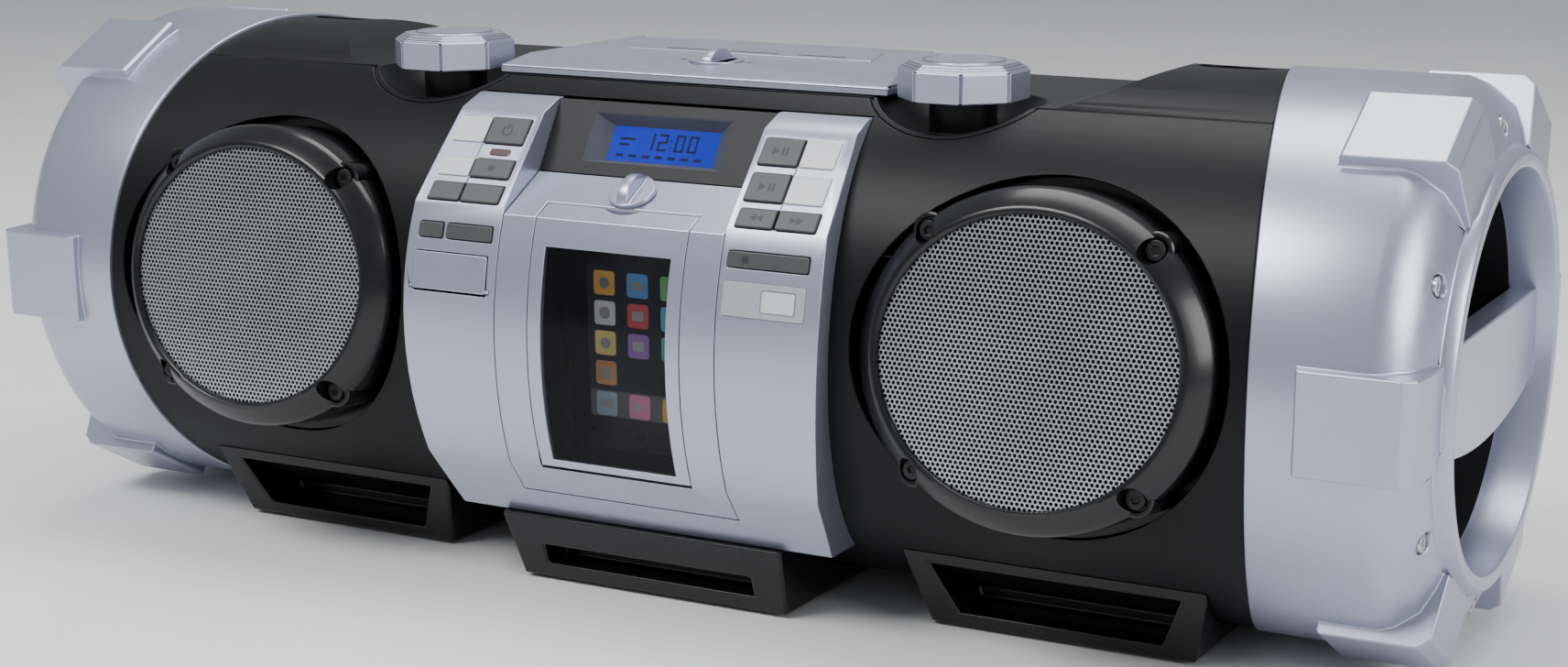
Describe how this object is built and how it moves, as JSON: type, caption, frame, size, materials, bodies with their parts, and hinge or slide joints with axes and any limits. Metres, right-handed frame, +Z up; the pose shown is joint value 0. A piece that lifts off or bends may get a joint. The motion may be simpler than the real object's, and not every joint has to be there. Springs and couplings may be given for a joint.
{
  "type": "tubular stereo player",
  "caption": "Tubular portable stereo on low feet with a woofer in each end cap, front speakers, a CD lid on top and a dock door in the centre panel.",
  "frame": {"origin": "on the floor under the middle of the tube, midway between the front of the speaker rings and the back of the battery cover", "axes": "+X along the tube towards its right end as seen from the front, front faces -Y, +Z up"},
  "size_m": [0.69, 0.262, 0.2356],
  "materials": {
    "front_shell": "satin charcoal",
    "rear_shell": "satin charcoal",
    "top_cover": "satin charcoal",
    "left_cap": "silver metallic paint",
    "right_cap": "silver metallic paint",
    "cap_screws": "bright zinc",
    "left_woofer": "black pressed steel",
    "right_woofer": "black pressed steel",
    "left_cone": "black pressed paper with a rubber surround",
    "right_cone": "black pressed paper with a rubber surround",
    "woofer_baffles": "matte black",
    "left_ring": "satin black",
    "right_ring": "satin black",
    "left_grille": "perforated metal, silver grey",
    "right_grille": "perforated metal, silver grey",
    "ring_screws": "black oxide",
    "front_drivers": "black paper and steel",
    "centre_panel": "silver metallic paint",
    "dock_frame": "silver metallic paint",
    "lcd_bezel": "dark grey",
    "lcd_window": "clear",
    "lcd_module": "blue backlight",
    "label_plates": "white",
    "standby_lamp": "dark red lens",
    "remote_window": "pale frame, smoked lens",
    "power_button": "grey",
    "line_in_button": "grey",
    "fm_button": "grey",
    "preset_button": "grey",
    "fm_mode_button": "grey",
    "sound_mode_button": "grey",
    "dock_play_button": "grey",
    "cd_play_button": "grey",
    "rewind_button": "grey",
    "forward_button": "grey",
    "stop_button": "grey",
    "flap_door": "silver metallic paint",
    "flap_socket": "matte black",
    "dock_door": "silver metallic paint",
    "dock_window": "smoked clear",
    "dock_knob": "silver metallic paint",
    "dock_cradle": "matte black",
    "docked_player": "gloss black",
    "cd_lid": "silver metallic paint",
    "lid_knob": "silver metallic paint",
    "cd_tray": "matte black",
    "spindle": "grey",
    "cd_pickup": "black",
    "volume_knob": "silver metallic paint",
    "woofer_knob": "silver metallic paint",
    "left_foot": "satin black",
    "right_foot": "satin black",
    "centre_foot": "satin black",
    "foot_pads": "matte rubber",
    "battery_cover": "satin charcoal",
    "jack_panel": "matte black",
    "main_board": "green circuit board",
    "transformer": "varnished steel",
    "aerial_tube": "chromed",
    "aerial_rod": "chromed"
  },
  "bodies": {
    "cabinet": {"front_shell": "front_shell", "rear_shell": "rear_shell", "top_cover": "top_cover", "left_cap": "left_cap", "right_cap": "right_cap", "cap_screws": "cap_screws", "left_woofer": "left_woofer", "right_woofer": "right_woofer", "left_cone": "left_cone", "right_cone": "right_cone", "woofer_baffles": "woofer_baffles", "left_ring": "left_ring", "right_ring": "right_ring", "left_grille": "left_grille", "right_grille": "right_grille", "ring_screws": "ring_screws", "front_drivers": "front_drivers", "centre_panel": "centre_panel", "dock_frame": "dock_frame", "lcd_bezel": "lcd_bezel", "lcd_window": "lcd_window", "lcd_module": "lcd_module", "label_plates": "label_plates", "standby_lamp": "standby_lamp", "remote_window": "remote_window", "flap_socket": "flap_socket", "dock_cradle": "dock_cradle", "docked_player": "docked_player", "cd_tray": "cd_tray", "left_foot": "left_foot", "right_foot": "right_foot", "centre_foot": "centre_foot", "foot_pads": "foot_pads", "jack_panel": "jack_panel", "main_board": "main_board", "transformer": "transformer"},
    "power_button": {"power_button": "power_button"},
    "line_in_button": {"line_in_button": "line_in_button"},
    "fm_button": {"fm_button": "fm_button"},
    "preset_button": {"preset_button": "preset_button"},
    "fm_mode_button": {"fm_mode_button": "fm_mode_button"},
    "sound_mode_button": {"sound_mode_button": "sound_mode_button"},
    "dock_play_button": {"dock_play_button": "dock_play_button"},
    "cd_play_button": {"cd_play_button": "cd_play_button"},
    "rewind_button": {"rewind_button": "rewind_button"},
    "forward_button": {"forward_button": "forward_button"},
    "stop_button": {"stop_button": "stop_button"},
    "flap_door": {"flap_door": "flap_door"},
    "dock_door": {"dock_door": "dock_door", "dock_window": "dock_window"},
    "dock_knob": {"dock_knob": "dock_knob"},
    "cd_lid": {"cd_lid": "cd_lid"},
    "lid_knob": {"lid_knob": "lid_knob"},
    "spindle": {"spindle": "spindle"},
    "cd_pickup": {"cd_pickup": "cd_pickup"},
    "volume_knob": {"volume_knob": "volume_knob"},
    "woofer_knob": {"woofer_knob": "woofer_knob"},
    "battery_cover": {"battery_cover": "battery_cover"},
    "aerial_tube": {"aerial_tube": "aerial_tube"},
    "aerial_rod": {"aerial_rod": "aerial_rod"}
  },
  "joints": [
    {"name": "power_press", "type": "slide", "parent": "cabinet", "child": "power_button", "axis": [0, 0.7528, -0.6582], "range_m": [0, 0.0012], "stiffness_N_per_m": 400, "springref_m": -0.0005},
    {"name": "line_in_press", "type": "slide", "parent": "cabinet", "child": "line_in_button", "axis": [0, 0.7528, -0.6582], "range_m": [0, 0.0012], "stiffness_N_per_m": 400, "springref_m": -0.0005},
    {"name": "fm_press", "type": "slide", "parent": "cabinet", "child": "fm_button", "axis": [0, 0.7528, -0.6582], "range_m": [0, 0.0012], "stiffness_N_per_m": 400, "springref_m": -0.0005},
    {"name": "preset_press", "type": "slide", "parent": "cabinet", "child": "preset_button", "axis": [0, 0.7528, -0.6582], "range_m": [0, 0.0012], "stiffness_N_per_m": 400, "springref_m": -0.0005},
    {"name": "fm_mode_press", "type": "slide", "parent": "cabinet", "child": "fm_mode_button", "axis": [0, 0.9566, -0.2915], "range_m": [0, 0.0012], "stiffness_N_per_m": 400, "springref_m": -0.0005},
    {"name": "sound_mode_press", "type": "slide", "parent": "cabinet", "child": "sound_mode_button", "axis": [0, 0.9566, -0.2915], "range_m": [0, 0.0012], "stiffness_N_per_m": 400, "springref_m": -0.0005},
    {"name": "dock_play_press", "type": "slide", "parent": "cabinet", "child": "dock_play_button", "axis": [0, 0.7528, -0.6582], "range_m": [0, 0.0012], "stiffness_N_per_m": 400, "springref_m": -0.0005},
    {"name": "cd_play_press", "type": "slide", "parent": "cabinet", "child": "cd_play_button", "axis": [0, 0.7528, -0.6582], "range_m": [0, 0.0012], "stiffness_N_per_m": 400, "springref_m": -0.0005},
    {"name": "rewind_press", "type": "slide", "parent": "cabinet", "child": "rewind_button", "axis": [0, 0.7528, -0.6582], "range_m": [0, 0.0012], "stiffness_N_per_m": 400, "springref_m": -0.0005},
    {"name": "forward_press", "type": "slide", "parent": "cabinet", "child": "forward_button", "axis": [0, 0.7528, -0.6582], "range_m": [0, 0.0012], "stiffness_N_per_m": 400, "springref_m": -0.0005},
    {"name": "stop_press", "type": "slide", "parent": "cabinet", "child": "stop_button", "axis": [0, 0.9566, -0.2915], "range_m": [0, 0.0012], "stiffness_N_per_m": 400, "springref_m": -0.0005},
    {"name": "lid_hinge", "type": "hinge", "parent": "cabinet", "child": "cd_lid", "pos_m": [0, 0.057, 0.2224], "axis": [-1, 0, 0], "range_deg": [0, 70]},
    {"name": "lid_knob_turn", "type": "hinge", "parent": "cd_lid", "child": "lid_knob", "pos_m": [0, -0.028, 0.2268], "axis": [0, 0, 1], "range_deg": [0, 45], "stiffness_Nm_per_rad": 0.02},
    {"name": "spindle_spin", "type": "hinge", "parent": "cabinet", "child": "spindle", "pos_m": [0, 0.001, 0.2], "axis": [0, 0, 1], "continuous": true},
    {"name": "pickup_slide", "type": "slide", "parent": "cabinet", "child": "cd_pickup", "axis": [0, -1, 0], "range_m": [0, 0.018]},
    {"name": "dock_door_hinge", "type": "hinge", "parent": "cabinet", "child": "dock_door", "pos_m": [0, -0.1152, 0.0631], "axis": [1, 0, 0], "range_deg": [0, 60]},
    {"name": "dock_knob_turn", "type": "hinge", "parent": "cabinet", "child": "dock_knob", "pos_m": [0, -0.0969, 0.17758], "axis": [0, -0.4899, 0.8718], "range_deg": [0, 45], "stiffness_Nm_per_rad": 0.02},
    {"name": "flap_hinge", "type": "hinge", "parent": "cabinet", "child": "flap_door", "pos_m": [-0.07745, -0.12219, 0.13544], "axis": [1, 0, 0], "range_deg": [0, 80]},
    {"name": "volume_turn", "type": "hinge", "parent": "cabinet", "child": "volume_knob", "pos_m": [0.1266, -0.045, 0.22], "axis": [0, 0, 1], "range_deg": [-150, 150]},
    {"name": "woofer_turn", "type": "hinge", "parent": "cabinet", "child": "woofer_knob", "pos_m": [-0.1266, -0.045, 0.22], "axis": [0, 0, 1], "range_deg": [-150, 150]},
    {"name": "battery_cover_off", "type": "slide", "parent": "cabinet", "child": "battery_cover", "axis": [0, 1, 0], "range_m": [0, 0.03]},
    {"name": "aerial_tilt", "type": "hinge", "parent": "cabinet", "child": "aerial_tube", "pos_m": [0.196, 0.1045, 0.183], "axis": [0, 1, 0], "range_deg": [0, 120]},
    {"name": "aerial_extend", "type": "slide", "parent": "aerial_tube", "child": "aerial_rod", "axis": [-1, 0, 0], "range_m": [0, 0.2]}
  ]
}
